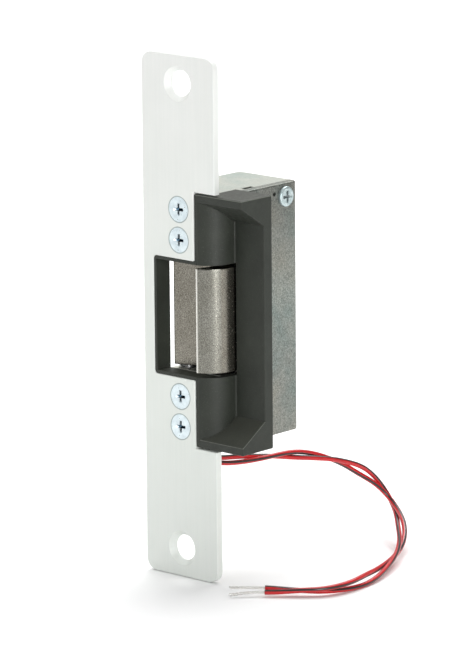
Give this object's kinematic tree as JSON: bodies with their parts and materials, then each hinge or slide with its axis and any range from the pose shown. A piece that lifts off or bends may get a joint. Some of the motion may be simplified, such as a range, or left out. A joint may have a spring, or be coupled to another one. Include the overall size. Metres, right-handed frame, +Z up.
{
  "type": "electric door strike",
  "caption": "Electric door strike: a long flat faceplate with a cast lip and recess, a swinging keeper, a solenoid lock in a cast case and a pair of leads with bare ends",
  "frame": {"origin": "centre of the two mounting holes, on the back face of the faceplate, where it lies on the door frame", "axes": "+X towards the lip, +Y into the door frame behind the faceplate, +Z up along the faceplate"},
  "size_m": [0.0722, 0.0943, 0.1746],
  "materials": {
    "enamelled_plate": "matte aluminium-white enamel",
    "zinc_screw": "bright blue-white zinc plating",
    "black_casting": "satin black paint on a die casting",
    "sintered_steel": "grainy nickel-plated sintered steel",
    "bright_steel": "turned steel",
    "spring_steel": "drawn spring wire",
    "bare_zinc": "tumbled bare zinc die casting",
    "plated_yoke": "zinc-plated sheet steel",
    "nylon": "natural nylon moulding",
    "copper": "enamelled copper winding",
    "tape": "polyester coil tape",
    "black_nylon": "moulded nylon",
    "red_insulation": "red insulation with a black tracer stripe",
    "splice_sleeve": "nylon crimp sleeve",
    "tinned_copper": "tinned copper strands"
  },
  "bodies": {
    "housing": {"faceplate": "enamelled_plate", "body_screws": "zinc_screw", "strike_body": "black_casting", "keeper_pin": "bright_steel", "keeper_washers": "bright_steel", "keeper_spring": "spring_steel", "case": "bare_zinc", "case_cover": "bare_zinc", "cover_screw": "zinc_screw", "solenoid_yoke": "plated_yoke", "coil_bobbin": "nylon", "coil_winding": "copper", "coil_tape": "tape", "solenoid_core": "bright_steel", "plunger_spring": "spring_steel", "lever_pin": "bright_steel", "solenoid_screws": "zinc_screw", "wire_grommet": "black_nylon", "inner_leads": "red_insulation", "wire_splices": "splice_sleeve", "lead_wire_a": "red_insulation", "lead_wire_b": "red_insulation", "bare_end_a": "tinned_copper", "bare_end_b": "tinned_copper"},
    "keeper": {"keeper": "sintered_steel"},
    "lever": {"lock_lever": "plated_yoke"},
    "plunger": {"solenoid_plunger": "bright_steel", "plunger_pin": "bright_steel"}
  },
  "joints": [
    {"name": "keeper_swing", "type": "hinge", "parent": "housing", "child": "keeper", "pos_m": [-0.0062, 0.008, 0], "axis": [0, 0, 1], "range_deg": [0, 40], "stiffness_Nm_per_rad": 0.03, "springref_deg": -20.05, "deforming": ["keeper_spring"]},
    {"name": "lever_tilt", "type": "hinge", "parent": "housing", "child": "lever", "pos_m": [0.0022, 0.0325, -0.023], "axis": [1, 0, 0], "range_deg": [0, 8.6]},
    {"name": "plunger_stroke", "type": "slide", "parent": "housing", "child": "plunger", "axis": [0, 0, -1], "range_m": [0, 0.00135], "stiffness_N_per_m": 8, "springref_m": -0.001, "deforming": ["plunger_spring"]}
  ],
  "couplings": [
    {"joint": "lever_tilt", "follows": "keeper_swing", "ratio": 0.215},
    {"joint": "plunger_stroke", "follows": "keeper_swing", "m_per_rad": 0.00193}
  ]
}
